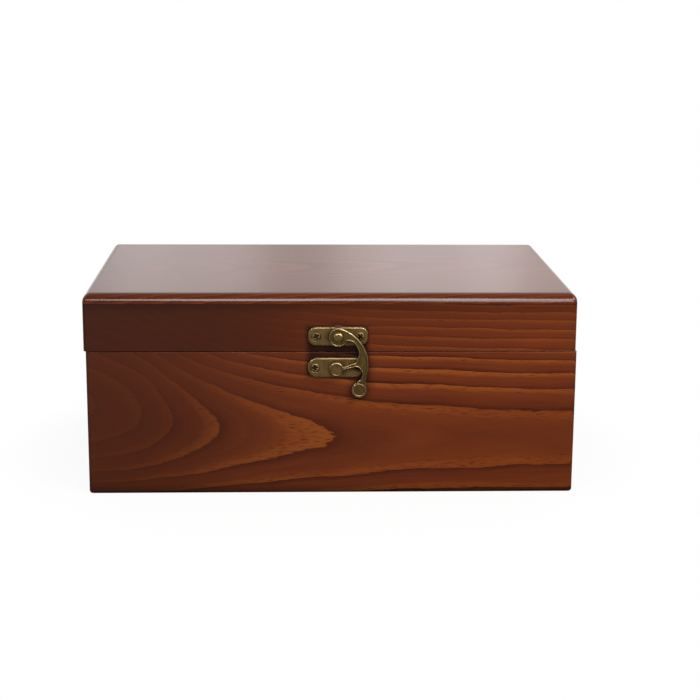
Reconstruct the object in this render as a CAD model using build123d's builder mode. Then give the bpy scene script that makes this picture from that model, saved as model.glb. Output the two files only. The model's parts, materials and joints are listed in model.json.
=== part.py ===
from build123d import *
from math import atan2, degrees, hypot
import os

# A hinged wooden sewing box: a rabbeted case, a lid sawn from the same block, a lift-out
# tray on two ledges, two butt hinges behind and a swing-hook latch in front.
# The origin is the middle of the underside. X runs right along the front, Y to the back,
# Z up. Every size is in millimetres and every angle in degrees.

# Outside of the box
lid_width = 215.0
lid_overhang = 0.2
box_depth = 135.0
box_height = 90.0
seam_height = 64.4
seam_gap = 0.3
lid_shift = -0.7
corner_round = 1.8
foot_round = 1.2
seam_ease = 0.12
top_round = 3.8

# Boards
wall = 8.0
corner_lap = 4.0
top_panel_thickness = 4.5
bottom_panel_thickness = 4.0
bottom_panel_lap = 4.0

# Tray and its ledges
tray_height = 22.0
tray_drop = 2.2
tray_side_clearance = 1.2
tray_rest_gap = 0.3
tray_wall = 5.0
tray_bottom_thickness = 3.0
tray_bottom_lap = 2.5
ledge_width = 6.0
ledge_height = 8.0
divider_thickness = 4.0
divider_drop = 1.0
front_compartment_depth = 42.0
spool_compartments = 3
finger_scoop_radius = 9.0

# Countersunk screws, the same all over the box
screw_head_radius = 1.9
screw_head_land = 0.15
screw_shank_radius = 0.9
screw_length = 7.5
screw_tip = 1.8
screw_recess_span = 2.3
screw_recess_width = 0.6
screw_recess_depth = 0.6
countersink_clearance = 0.12
pilot_clearance = 0.05
pilot_extra_depth = 0.3
seat_clearance = 0.02

# How far each pair of screws was turned when it was driven home
latch_screw_turns = (24, 51)
keeper_screw_turns = (8, 33)
hinge_case_screw_turns = (15, 62)
hinge_lid_screw_turns = (40, 5)

# Sheet metal of the latch and the hinges
plate_thickness = 1.0
plate_edge_round = 0.5

# Latch: the upper plate carries the hook's rivet, the lower plate the catch post
pivot_x = 2.35
pivot_rise = 6.9
post_left_of_pivot = 0.82
post_drop = 7.05
latch_plate_length = 26.2
latch_plate_height = 8.3
latch_plate_corner = 3.5
latch_plate_screw_spacing = 19.3
keeper_plate_length = 24.7
keeper_plate_height = 8.8
keeper_plate_corner = 4.1
keeper_plate_screw_spacing = 18.4
post_neck_radius = 0.95
post_head_radius = 3.1
post_head_thickness = 1.1
post_head_round = 0.5
post_head_dish = 0.15
post_rim = 0.6
rivet_shank_radius = 1.2
rivet_head_radius = 2.25
rivet_head_height = 1.0
rivet_head_round = 0.85
rivet_running_clearance = 0.06
rivet_end_play = 0.15

# Hook
hook_thickness = 1.6
hook_stand_off = 0.5
hook_face_gap = 0.3
hook_eye_radius = 4.1
hook_boss_radius = 3.0
hook_knob_radius = 3.3
hook_rim_width = 0.55
hook_rim_height = 0.3
knob_rim_width = 0.75
hook_edge_round = 0.25
hook_neck_clearance = 0.17
hook_swing_slot = 16.0

# Hinges
hinge_spacing = 120.0
hinge_length = 22.0
hinge_leaf_height = 10.0
hinge_leaf_corner = 2.5
hinge_screw_spacing = 13.0
hinge_screw_drop = 6.2
knuckle_radius = 1.7
knuckle_gap = 0.3
knuckle_clearance = 0.3
hinge_pin_radius = 0.75
hinge_pin_clearance = 0.05
hinge_pin_head_radius = 1.25
hinge_pin_head_height = 0.6
hinge_pin_head_round = 0.36
lid_open_angle = 105.0
stop_length = 3.0
stop_thickness = 0.8
stop_gap = 0.1

# Levels and hollows that follow from the sizes above
case_width = lid_width - 2 * lid_overhang
case_top = seam_height - seam_gap / 2
lid_low = seam_height + seam_gap / 2
top_panel_low = box_height - top_panel_thickness
well_width = case_width - 2 * wall
well_depth = box_depth - 2 * wall
front_face = -box_depth / 2
back_face = box_depth / 2

tray_width = well_width - 2 * tray_side_clearance
tray_depth = well_depth - 2 * tray_side_clearance
tray_top = case_top - tray_drop
tray_low = tray_top - tray_height
tray_floor = tray_low + tray_bottom_thickness
ledge_top = tray_low - tray_rest_gap

pivot_z = seam_height + pivot_rise
post_x = pivot_x - post_left_of_pivot
post_z = seam_height - post_drop
post_from_pivot = Vector(post_x - pivot_x, post_z - pivot_z)

axis_setback = knuckle_radius + knuckle_clearance
axis_y = back_face + axis_setback
knuckle_length = (hinge_length - 2 * knuckle_gap) / 3
knuckle_pitch = knuckle_length + knuckle_gap
hinge_centres = {"left": -hinge_spacing / 2, "right": hinge_spacing / 2}

screw_head_depth = screw_head_land + screw_head_radius - screw_shank_radius


def front_plane(x, z, out=0.0):
    """A plane facing forwards: x right, y up, its origin `out` in front of the box."""
    return Plane(origin=(x, front_face - out, z), x_dir=(1, 0, 0), z_dir=(0, -1, 0))


def back_plane(x, z, out=0.0):
    """A plane facing backwards: y up, its origin `out` behind the box."""
    return Plane(origin=(x, back_face + out, z), x_dir=(-1, 0, 0), z_dir=(0, 1, 0))


def pair_places(plane, spacing, turns):
    """Two planes `spacing` apart along a plane's x, each turned about its own normal."""
    places = []
    for side, turn in zip((-1, 1), turns):
        places.append(Plane(plane.location * Pos(side * spacing / 2, 0, 0) * Rot(0, 0, turn)))
    return places


latch_plate_centre = front_plane(pivot_x, pivot_z, plate_thickness)
keeper_plate_centre = front_plane(post_x, post_z, plate_thickness)
latch_screw_places = pair_places(latch_plate_centre, latch_plate_screw_spacing, latch_screw_turns)
keeper_screw_places = pair_places(keeper_plate_centre, keeper_plate_screw_spacing, keeper_screw_turns)
hinge_case_screw_places = []
hinge_lid_screw_places = []
for centre in hinge_centres.values():
    lower = back_plane(centre, seam_height - hinge_screw_drop, plate_thickness)
    upper = back_plane(centre, seam_height + hinge_screw_drop, plate_thickness)
    hinge_case_screw_places += pair_places(lower, hinge_screw_spacing, hinge_case_screw_turns)
    hinge_lid_screw_places += pair_places(upper, hinge_screw_spacing, hinge_lid_screw_turns)


# The outside that the glued-up case is rounded to
with BuildPart() as case_blank:
    with BuildSketch(Plane.XY):
        RectangleRounded(case_width, box_depth, corner_round)
    extrude(amount=case_top)
    fillet(case_blank.faces().sort_by(Axis.Z)[0].edges(), foot_round)
    fillet(case_blank.faces().sort_by(Axis.Z)[-1].edges(), seam_ease)

# The outside that the glued-up lid is rounded to
with BuildPart() as lid_blank:
    with BuildSketch(Plane(origin=(lid_shift, 0, lid_low))):
        RectangleRounded(lid_width, box_depth, corner_round)
    extrude(amount=box_height - lid_low)
    fillet(lid_blank.faces().sort_by(Axis.Z)[0].edges(), seam_ease)
    fillet(lid_blank.faces().sort_by(Axis.Z)[-1].edges(), top_round)


def long_board(blank, centre_x, width, low, high, side):
    """The front (side -1) or back (side 1) board, rabbeted at both ends."""
    rabbet_depth = wall - corner_lap
    rabbets = []
    for end in (-1, 1):
        rabbets.append((end * (width - wall) / 2, side * (box_depth / 2 - wall + rabbet_depth / 2)))
    with BuildPart() as board:
        with BuildSketch(Plane(origin=(centre_x, 0, low))):
            with Locations((0, side * (box_depth - wall) / 2)):
                Rectangle(width, wall)
            with Locations(*rabbets):
                Rectangle(wall, rabbet_depth, mode=Mode.SUBTRACT)
        extrude(amount=high - low)
        add(blank, mode=Mode.INTERSECT)
    return board


def side_board(blank, centre_x, width, low, high, side):
    """The left (side -1) or right (side 1) board, held in the rabbets of the long boards."""
    with BuildPart() as board:
        with BuildSketch(Plane(origin=(centre_x, 0, low))):
            with Locations((side * (width - wall) / 2, 0)):
                Rectangle(wall, box_depth - 2 * corner_lap)
        extrude(amount=high - low)
        add(blank, mode=Mode.INTERSECT)
    return board


# One screw: a flat countersunk head with a cross recess, a plain shank and a point
with BuildPart() as screw:
    with BuildSketch(Plane.XZ):
        with BuildLine():
            Polyline(
                (0, 0),
                (screw_head_radius, 0),
                (screw_head_radius, -screw_head_land),
                (screw_shank_radius, -screw_head_depth),
                (screw_shank_radius, -screw_length + screw_tip),
                (0, -screw_length),
                close=True,
            )
        make_face()
    revolve(axis=Axis.Z)
    with BuildSketch(Plane.XY):
        Rectangle(screw_recess_span, screw_recess_width)
        Rectangle(screw_recess_width, screw_recess_span)
    extrude(amount=-screw_recess_depth, mode=Mode.SUBTRACT)

# The room that one screw takes up in a plate and in the board behind it
with BuildPart() as screw_room:
    with BuildSketch(Plane.XZ):
        with BuildLine():
            Polyline(
                (0, 0),
                (screw_head_radius + countersink_clearance, 0),
                (screw_head_radius + countersink_clearance, -screw_head_land),
                (screw_shank_radius + pilot_clearance, -screw_head_depth - countersink_clearance),
                (screw_shank_radius + pilot_clearance, -screw_length - pilot_extra_depth),
                (0, -screw_length - pilot_extra_depth),
                close=True,
            )
        make_face()
    revolve(axis=Axis.Z)

# Case: four boards with a rebate below for the bottom panel, which lies flush
case_frame = (case_blank.part, 0, case_width, 0, case_top)
front_board = long_board(*case_frame, -1)
back_board = long_board(*case_frame, 1)
left_board = side_board(*case_frame, -1)
right_board = side_board(*case_frame, 1)

with BuildPart() as case_bottom:
    with BuildSketch(Plane.XY):
        Rectangle(well_width + 2 * bottom_panel_lap, well_depth + 2 * bottom_panel_lap)
    extrude(amount=bottom_panel_thickness)

with BuildPart() as case_front:
    add(front_board.part)
    add(case_bottom.part, mode=Mode.SUBTRACT)
    with Locations(*keeper_screw_places):
        add(screw_room.part, mode=Mode.SUBTRACT)

with BuildPart() as case_back:
    add(back_board.part)
    add(case_bottom.part, mode=Mode.SUBTRACT)
    with Locations(*hinge_case_screw_places):
        add(screw_room.part, mode=Mode.SUBTRACT)

with BuildPart() as case_left:
    add(left_board.part)
    add(case_bottom.part, mode=Mode.SUBTRACT)

with BuildPart() as case_right:
    add(right_board.part)
    add(case_bottom.part, mode=Mode.SUBTRACT)


def ledge(side):
    """A strip along a side board that the tray's ends rest over."""
    with BuildPart() as strip:
        with BuildSketch(Plane.XY.offset(ledge_top - ledge_height)):
            with Locations((side * (well_width - ledge_width) / 2, 0)):
                Rectangle(ledge_width, well_depth)
        extrude(amount=ledge_height)
    return strip


tray_ledge_left = ledge(-1)
tray_ledge_right = ledge(1)


# Lid: four rails under one top panel, whose upper edge is rounded over
lid_frame = (lid_blank.part, lid_shift, lid_width, lid_low, top_panel_low)
front_rail = long_board(*lid_frame, -1)
back_rail = long_board(*lid_frame, 1)

lid_left = side_board(*lid_frame, -1)
lid_right = side_board(*lid_frame, 1)

with BuildPart() as lid_front:
    add(front_rail.part)
    with Locations(*latch_screw_places):
        add(screw_room.part, mode=Mode.SUBTRACT)

with BuildPart() as lid_back:
    add(back_rail.part)
    with Locations(*hinge_lid_screw_places):
        add(screw_room.part, mode=Mode.SUBTRACT)

with BuildPart() as lid_top_panel:
    with BuildSketch(Plane(origin=(lid_shift, 0, top_panel_low))):
        Rectangle(lid_width, box_depth)
    extrude(amount=top_panel_thickness)
    add(lid_blank.part, mode=Mode.INTERSECT)


def screw_group(places):
    """One screw at each place, as separate solids."""
    with BuildPart() as group:
        with Locations(*places):
            add(screw.part)
    return group


keeper_screws = screw_group(keeper_screw_places)
latch_plate_screws = screw_group(latch_screw_places)
hinge_case_screws = screw_group(hinge_case_screw_places)
hinge_lid_screws = screw_group(hinge_lid_screw_places)


def latch_plate_part(centre_plane, length, height, corner, hole_radius, screw_places):
    """A round-cornered plate with two countersinks and one middle hole."""
    with BuildPart() as plate:
        with BuildSketch(centre_plane.offset(-plate_thickness)):
            RectangleRounded(length, height, corner)
        extrude(amount=plate_thickness)
        fillet(plate.faces().sort_by(Axis.Y)[0].edges(), plate_edge_round)
        with Locations(centre_plane):
            Hole(hole_radius, depth=plate_thickness)
        with Locations(*screw_places):
            add(screw_room.part, mode=Mode.SUBTRACT)
    return plate


latch_plate = latch_plate_part(
    latch_plate_centre,
    latch_plate_length,
    latch_plate_height,
    latch_plate_corner,
    rivet_shank_radius + seat_clearance,
    latch_screw_places,
)
keeper_plate = latch_plate_part(
    keeper_plate_centre,
    keeper_plate_length,
    keeper_plate_height,
    keeper_plate_corner,
    post_neck_radius + seat_clearance,
    keeper_screw_places,
)

# Depths of the latch, all measured outwards from the front face
hook_back_out = plate_thickness + hook_stand_off
hook_front_out = hook_back_out + hook_thickness
hook_floor_out = hook_front_out - hook_rim_height
rivet_head_out = hook_floor_out + rivet_end_play
post_head_out = hook_front_out + hook_face_gap

# Rivet: a shank through plate and hook under a domed head
with BuildPart() as latch_rivet:
    with BuildSketch(front_plane(pivot_x, pivot_z)):
        Circle(rivet_shank_radius)
    extrude(amount=rivet_head_out)
    with BuildSketch(front_plane(pivot_x, pivot_z, rivet_head_out)):
        Circle(rivet_head_radius)
    extrude(amount=rivet_head_height)
    fillet(latch_rivet.faces().sort_by(Axis.Y)[0].edges(), rivet_head_round)

# Catch post: a neck through the plate under a dished round head
with BuildPart() as keeper_post:
    with BuildSketch(front_plane(post_x, post_z)):
        Circle(post_neck_radius)
    extrude(amount=post_head_out)
    with BuildSketch(front_plane(post_x, post_z, post_head_out)):
        Circle(post_head_radius)
    extrude(amount=post_head_thickness)
    fillet(keeper_post.faces().sort_by(Axis.Y)[0].edges(), post_head_round)
    with BuildSketch(front_plane(post_x, post_z, post_head_out + post_head_thickness)):
        Circle(post_head_radius - post_rim)
    extrude(amount=-post_head_dish, mode=Mode.SUBTRACT)

# Hook outline, seen from the front with the pivot at (0, 0). The eye's end is measured
# from the pivot, and all that lies low on the hook from the catch post.
eye_shoulder = Vector(0.75, 4.02)
arm_outer_mid = Vector(7.3, 0.4)
arm_inner_top = Vector(3.6, -1.7)
arm_inner_mid = Vector(6.3, -2.1)
arm_inner_bend = Vector(7.9, -4.3)
arm_inner_hollow = post_from_pivot + Vector(9.85, 6.7)
arm_inner_low = post_from_pivot + Vector(9.1, 4.2)
arm_outer_bend = post_from_pivot + Vector(13.35, 6.3)
arm_outer_low = post_from_pivot + Vector(13.6, -1.7)
finger_root_top = post_from_pivot + Vector(8.6, 2.7)
finger_seat = post_from_pivot + Vector(0.7, -0.25)
finger_tip_top = post_from_pivot + Vector(-1.2, -0.8)
finger_tip_low = post_from_pivot + Vector(-1.0, -2.3)
finger_under_post = post_from_pivot + Vector(0.4, -2.45)
finger_low_mid = post_from_pivot + Vector(3.3, -0.6)
finger_root_low = post_from_pivot + Vector(8.3, 0.85)
notch_mid = post_from_pivot + Vector(11.1, -1.4)
notch_low = post_from_pivot + Vector(10.8, -4.7)
knob_centre = post_from_pivot + Vector(10.1, -9.75)
knob_right = knob_centre + Vector(2.9, 1.5)
knob_left = knob_centre + Vector(-2.6, 2.0)

# Each corner of the outline that is rounded off, with its radius
hook_corners = (
    (arm_inner_top, 0.5),
    (arm_inner_bend, 2.0),
    (arm_inner_low, 1.0),
    (finger_root_top, 0.7),
    (finger_root_low, 0.6),
    (finger_low_mid, 2.0),
    (finger_under_post, 0.4),
    (finger_tip_low, 0.4),
    (finger_tip_top, 0.4),
    (finger_seat, 0.4),
    (notch_low, 1.2),
    (knob_left, 0.8),
    (knob_right, 1.2),
)

post_distance = hypot(post_from_pivot.X, post_from_pivot.Y)
post_bearing = degrees(atan2(post_from_pivot.Y, post_from_pivot.X))
neck_path = CenterArc((0, 0), post_distance, post_bearing, -hook_swing_slot)

with BuildSketch(Plane.XY) as hook_outline:
    with BuildLine():
        upper = ThreePointArc(eye_shoulder, arm_outer_mid, arm_outer_bend)
        lower = TangentArc(upper @ 1, arm_outer_low, tangent=upper % 1)
        TangentArc(lower @ 1, knob_right, tangent=lower % 1)
        Polyline(knob_right, knob_centre, knob_left, notch_low)
        ThreePointArc(notch_low, notch_mid, finger_root_low)
        Polyline(
            finger_root_low,
            finger_low_mid,
            finger_under_post,
            finger_tip_low,
            finger_tip_top,
            finger_seat,
            finger_root_top,
            arm_inner_low,
        )
        ThreePointArc(arm_inner_low, arm_inner_hollow, arm_inner_bend)
        ThreePointArc(arm_inner_bend, arm_inner_mid, arm_inner_top)
        Line(arm_inner_top, eye_shoulder)
    make_face()
    Circle(hook_eye_radius)
    with Locations(knob_centre):
        Circle(hook_knob_radius)
    SlotArc(neck_path, 2 * (post_neck_radius + hook_neck_clearance), mode=Mode.SUBTRACT)
    for corner, radius in hook_corners:
        fillet(hook_outline.vertices().sort_by_distance(corner)[0], radius)

hook_floor = offset(hook_outline.sketch, amount=-hook_rim_width)

# Hook: eye, curved arm, catch finger and thumb knob, with a raised rim all round. The knob's
# own rim goes right round it, so it also parts the knob from the arm.
with BuildPart() as latch_hook:
    with BuildSketch(front_plane(pivot_x, pivot_z, hook_back_out)):
        add(hook_outline.sketch)
    extrude(amount=hook_thickness)
    fillet(latch_hook.faces().sort_by(Axis.Y)[0].edges(), hook_edge_round)
    with BuildSketch(front_plane(pivot_x, pivot_z, hook_front_out)):
        with BuildLine():
            for edge in hook_floor.edges():
                if edge.geom_type == GeomType.LINE:
                    Line(edge @ 0, edge @ 1)
                else:
                    ThreePointArc(edge @ 0, edge @ 0.5, edge @ 1)
        make_face()
    extrude(amount=-hook_rim_height, mode=Mode.SUBTRACT)
    with BuildSketch(front_plane(pivot_x, pivot_z, hook_front_out)):
        with Locations(knob_centre):
            Circle(hook_knob_radius - hook_edge_round)
            Circle(hook_knob_radius - hook_edge_round - knob_rim_width, mode=Mode.SUBTRACT)
    extrude(amount=-hook_rim_height)
    with BuildSketch(front_plane(pivot_x, pivot_z, plate_thickness + rivet_end_play)):
        Circle(hook_boss_radius)
    extrude(amount=hook_stand_off - rivet_end_play)
    with Locations(front_plane(pivot_x, pivot_z, hook_front_out)):
        Hole(rivet_shank_radius + rivet_running_clearance, depth=hook_thickness + hook_stand_off)


def hinge_leaf(centre_x, side):
    """The case leaf (side -1, outer knuckles) or lid leaf (side 1, middle knuckle)."""
    own_knuckles = (0,) if side > 0 else (-knuckle_pitch, knuckle_pitch)
    other_knuckles = (-knuckle_pitch, knuckle_pitch) if side > 0 else (0,)
    leaf_face = back_plane(centre_x, seam_height)
    screw_places = hinge_lid_screw_places if side > 0 else hinge_case_screw_places
    hinge_axis = Plane(origin=(centre_x, axis_y, seam_height))
    notch_width = knuckle_length + 2 * knuckle_gap
    notch_depth = knuckle_radius + knuckle_clearance
    with BuildPart() as leaf:
        with BuildSketch(leaf_face):
            with Locations((0, side * (hinge_leaf_height + knuckle_clearance) / 2)):
                Rectangle(hinge_length, hinge_leaf_height - knuckle_clearance)
            with Locations(*[(x, 0) for x in other_knuckles]):
                Rectangle(notch_width, 2 * notch_depth, mode=Mode.SUBTRACT)
        extrude(amount=plate_thickness)
        outer_corners = leaf.edges().filter_by(Axis.Y).group_by(Axis.Z)[-1 if side > 0 else 0]
        fillet(outer_corners, hinge_leaf_corner)
        with Locations(hinge_axis):
            with Locations(*[(x, 0, 0) for x in own_knuckles]):
                Cylinder(knuckle_radius, knuckle_length, rotation=(0, 90, 0))
        if side > 0:
            with Locations(hinge_axis.rotated((lid_open_angle, 0, 0))):
                with Locations((0, stop_gap - knuckle_radius - knuckle_clearance + plate_thickness, 0)):
                    Box(
                        knuckle_length,
                        stop_thickness,
                        stop_length,
                        align=(Align.CENTER, Align.MIN, Align.MAX),
                    )
        bore = hinge_pin_radius + (hinge_pin_clearance if side > 0 else seat_clearance)
        with Locations(hinge_axis):
            Cylinder(bore, hinge_length, rotation=(0, 90, 0), mode=Mode.SUBTRACT)
        with Locations(*screw_places):
            add(screw_room.part, mode=Mode.SUBTRACT)
    return leaf


def hinge_pin(centre_x):
    """A pin through all three knuckles, with a domed head at each end."""
    with BuildPart() as pin:
        with Locations(Plane(origin=(centre_x, axis_y, seam_height))):
            Cylinder(hinge_pin_radius, hinge_length, rotation=(0, 90, 0))
            with Locations(*[(end * (hinge_length + hinge_pin_head_height) / 2, 0, 0) for end in (-1, 1)]):
                Cylinder(hinge_pin_head_radius, hinge_pin_head_height, rotation=(0, 90, 0))
        fillet(pin.faces().sort_by(Axis.X)[0].edges(), hinge_pin_head_round)
        fillet(pin.faces().sort_by(Axis.X)[-1].edges(), hinge_pin_head_round)
    return pin


hinge_pieces = {}
for side_name, centre in hinge_centres.items():
    hinge_pieces[f"hinge_{side_name}_case_leaf"] = hinge_leaf(centre, -1)
    hinge_pieces[f"hinge_{side_name}_lid_leaf"] = hinge_leaf(centre, 1)
    hinge_pieces[f"hinge_{side_name}_pin"] = hinge_pin(centre)


# Tray: a thin-walled frame with its bottom let in flush below
with BuildPart() as tray_bottom:
    with BuildSketch(Plane.XY.offset(tray_low)):
        Rectangle(
            tray_width - 2 * (tray_wall - tray_bottom_lap),
            tray_depth - 2 * (tray_wall - tray_bottom_lap),
        )
    extrude(amount=tray_bottom_thickness)


def tray_long_board(side):
    """The tray's front (side -1) or back (side 1) board, as long as the tray."""
    with BuildPart() as board:
        with BuildSketch(Plane.XY.offset(tray_low)):
            with Locations((0, side * (tray_depth - tray_wall) / 2)):
                Rectangle(tray_width, tray_wall)
        extrude(amount=tray_height)
        add(tray_bottom.part, mode=Mode.SUBTRACT)
    return board


def tray_end_board(side):
    """The tray's left (side -1) or right (side 1) end, with a scoop to lift it by."""
    with BuildPart() as board:
        with BuildSketch(Plane.XY.offset(tray_low)):
            with Locations((side * (tray_width - tray_wall) / 2, 0)):
                Rectangle(tray_wall, tray_depth - 2 * tray_wall)
        extrude(amount=tray_height)
        add(tray_bottom.part, mode=Mode.SUBTRACT)
        with Locations((side * (tray_width - tray_wall) / 2, 0, tray_top)):
            Cylinder(finger_scoop_radius, 2 * tray_wall, rotation=(0, 90, 0), mode=Mode.SUBTRACT)
    return board


tray_front = tray_long_board(-1)
tray_back = tray_long_board(1)
tray_left = tray_end_board(-1)
tray_right = tray_end_board(1)

tray_inner_width = tray_width - 2 * tray_wall
tray_inner_front = -tray_depth / 2 + tray_wall
tray_inner_back = tray_depth / 2 - tray_wall
divider_height = tray_top - divider_drop - tray_floor
long_divider_y = tray_inner_front + front_compartment_depth + divider_thickness / 2
spool_row_front = long_divider_y + divider_thickness / 2
spool_row_depth = tray_inner_back - spool_row_front

with BuildPart() as tray_long_divider:
    with BuildSketch(Plane.XY.offset(tray_floor)):
        with Locations((0, long_divider_y)):
            Rectangle(tray_inner_width, divider_thickness)
    extrude(amount=divider_height)


def spool_divider(position):
    """A cross board from the long divider to the tray's back."""
    x = tray_inner_width * (position / spool_compartments - 0.5)
    with BuildPart() as board:
        with BuildSketch(Plane.XY.offset(tray_floor)):
            with Locations((x, spool_row_front + spool_row_depth / 2)):
                Rectangle(divider_thickness, spool_row_depth)
        extrude(amount=divider_height)
    return board


spool_dividers = {}
for position in range(1, spool_compartments):
    spool_dividers[f"tray_spool_divider_{position}"] = spool_divider(position)


pieces = {
    "case_front": case_front,
    "case_back": case_back,
    "case_left": case_left,
    "case_right": case_right,
    "case_bottom": case_bottom,
    "tray_ledge_left": tray_ledge_left,
    "tray_ledge_right": tray_ledge_right,
    "keeper_plate": keeper_plate,
    "keeper_post": keeper_post,
    "keeper_screws": keeper_screws,
    "hinge_case_screws": hinge_case_screws,
    "lid_top_panel": lid_top_panel,
    "lid_front": lid_front,
    "lid_back": lid_back,
    "lid_left": lid_left,
    "lid_right": lid_right,
    "hinge_lid_screws": hinge_lid_screws,
    "latch_plate": latch_plate,
    "latch_plate_screws": latch_plate_screws,
    "latch_rivet": latch_rivet,
    "latch_hook": latch_hook,
    "tray_front": tray_front,
    "tray_back": tray_back,
    "tray_left": tray_left,
    "tray_right": tray_right,
    "tray_bottom": tray_bottom,
    "tray_long_divider": tray_long_divider,
    **hinge_pieces,
    **spool_dividers,
}

os.makedirs("parts", exist_ok=True)
for name, piece in pieces.items():
    piece.part.label = name
    export_step(piece.part, f"parts/{name}.step")
print(len(pieces), "pieces written")
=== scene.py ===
# %% [markdown]
# A hinged pine sewing box, stained dark reddish brown and finished with a clear lacquer. The
# carpentry and the hardware were drawn in CAD and come in as a fixed frame, in metres, with X to
# the right along the front, Y to the back and Z up. This script gives each piece its real
# surface. The frame's box is kept here.

# %% Load the frame
import json
import math
import bmesh
import bpy
from mathutils import Matrix, Vector

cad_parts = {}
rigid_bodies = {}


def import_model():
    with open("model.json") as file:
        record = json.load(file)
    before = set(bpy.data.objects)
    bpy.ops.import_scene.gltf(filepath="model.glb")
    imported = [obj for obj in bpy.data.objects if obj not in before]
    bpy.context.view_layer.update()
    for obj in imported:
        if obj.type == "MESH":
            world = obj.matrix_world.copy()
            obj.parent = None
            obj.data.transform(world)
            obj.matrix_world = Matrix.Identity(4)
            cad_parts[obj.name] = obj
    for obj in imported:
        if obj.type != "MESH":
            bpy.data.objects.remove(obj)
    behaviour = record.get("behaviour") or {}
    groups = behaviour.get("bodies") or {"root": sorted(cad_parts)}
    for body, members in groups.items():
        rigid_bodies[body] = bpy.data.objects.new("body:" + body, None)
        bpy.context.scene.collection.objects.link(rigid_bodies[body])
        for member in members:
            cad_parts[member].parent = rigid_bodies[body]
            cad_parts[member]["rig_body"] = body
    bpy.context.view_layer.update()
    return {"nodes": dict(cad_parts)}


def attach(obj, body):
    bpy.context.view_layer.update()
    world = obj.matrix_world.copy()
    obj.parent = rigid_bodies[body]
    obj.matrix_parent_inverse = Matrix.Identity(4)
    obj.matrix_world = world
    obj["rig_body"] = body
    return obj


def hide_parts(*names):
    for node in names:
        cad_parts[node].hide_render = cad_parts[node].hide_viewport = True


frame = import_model()
scene = bpy.context.scene

# %% [markdown]
# Every finish below is a tree of shader nodes. Adding a node takes three steps each time: make it,
# set it, link it. One helper does all three, so that a tree reads from top to bottom. Colours are
# given as sRGB hex values, as a paint chart gives them, while a shader works in linear light, so
# a second helper turns one into the other.

# %% Two helpers for node trees
MM = 0.001


def linear(hex_colour):
    """A linear RGBA colour from an sRGB hex value such as "5F2D18"."""
    channels = [int(hex_colour[i : i + 2], 16) / 255 for i in (0, 2, 4)]
    curve = [c / 12.92 if c <= 0.04045 else ((c + 0.055) / 1.055) ** 2.4 for c in channels]
    return (*curve, 1.0)


def add(tree, kind, inputs=None, **settings):
    """A new node in the tree, with its settings, and each input set or linked."""
    made = tree.nodes.new(kind)
    for name, value in settings.items():
        setattr(made, name, value)
    for socket, value in (inputs or {}).items():
        if isinstance(value, bpy.types.NodeSocket):
            tree.links.new(value, made.inputs[socket])
        else:
            made.inputs[socket].default_value = value
    return made


print("linear of 5F2D18 is", [round(c, 4) for c in linear("5F2D18")])

# %% [markdown]
# Much of this box follows curves that are easier to draw than to calculate: how deep a ring lies
# along a board, or how the stain changes within a year. A Float Curve node draws them, but it
# works from 0 to 1 both ways. The helper below lets each curve be written in its own units. Most
# of the curves say how much there is of something, from none to double.

# %% Drawn curves and new materials
NONE_TO_DOUBLE = (0.0, 2.0)


def drawn(tree, value, points, span, limits=NONE_TO_DOUBLE):
    """The value on a curve through (input, output) points, which lie within span and limits."""
    share = add(tree, "ShaderNodeMapRange", {"Value": value, "From Min": span[0], "From Max": span[1]})
    curve = add(tree, "ShaderNodeFloatCurve", {"Value": share.outputs[0]})
    line = curve.mapping.curves[0]
    for i, (place, height) in enumerate(points):
        x = (place - span[0]) / (span[1] - span[0])
        y = (height - limits[0]) / (limits[1] - limits[0])
        if i < 2:
            line.points[i].location = (x, y)
        else:
            line.points.new(x, y)
    curve.mapping.update()
    scaled = add(
        tree, "ShaderNodeMapRange", {"Value": curve.outputs[0], "To Min": limits[0], "To Max": limits[1]}
    )
    return scaled.outputs[0]


def new_material(name):
    """An empty material, with its tree and its output node."""
    material = bpy.data.materials.new(name)
    material.use_nodes = True
    material.node_tree.nodes.clear()
    return material, material.node_tree, add(material.node_tree, "ShaderNodeOutputMaterial")


print("a drawn curve runs from", NONE_TO_DOUBLE[0], "to", NONE_TO_DOUBLE[1], "where its call says no more")

# %% [markdown]
# The camera stands a little left of the box's middle, three quarters of a metre in front of it and
# 135 mm above the lid, looking down by 13 degrees. Such a long lens keeps the box's upright edges
# nearly parallel. Its place and angles were worked out from the box's corners and real size.

# %% Camera
IMAGE_WIDTH = 700
FOCAL_PIXELS = 1626.9
SENSOR_WIDTH = 36.0
CAMERA_PLACE = Vector((-20.14, -757.94, 225.16)) * MM
CAMERA_YAW, CAMERA_PITCH, CAMERA_ROLL = -2.297, -13.041, 0.439

camera_data = bpy.data.cameras.new("camera")
camera_data.sensor_fit = "HORIZONTAL"
camera_data.sensor_width = SENSOR_WIDTH
camera_data.lens = FOCAL_PIXELS / IMAGE_WIDTH * SENSOR_WIDTH
camera = bpy.data.objects.new("camera", camera_data)
scene.collection.objects.link(camera)
aim = Matrix.Rotation(math.radians(CAMERA_YAW), 4, "Z") @ Matrix.Rotation(
    math.radians(90 + CAMERA_PITCH), 4, "X"
)
roll = Matrix.Rotation(math.radians(CAMERA_ROLL), 4, "Z")
camera.matrix_world = Matrix.Translation(CAMERA_PLACE) @ aim @ roll
scene.camera = camera
scene.view_settings.view_transform = "Standard"
print("lens", round(camera_data.lens, 2), "mm")

# %% [markdown]
# A lacquered box shows its surroundings. Here it stands in front of a white sweep in a dim room.
# The lid's top looks along the sweep and turns pale, while the front looks into the dim room and
# keeps its deep colour. The world is that room: white for the camera, a plain grey as a light,
# and for a reflection white behind the box, up to where the sweep ends under a grey ceiling. The
# sweep isn't lit evenly, and a curve from left to right gives the lid its broad soft bands. The
# world's Generated coordinates are the direction of a ray, so its edges are written as the share
# of that direction that points back or up.

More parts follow.
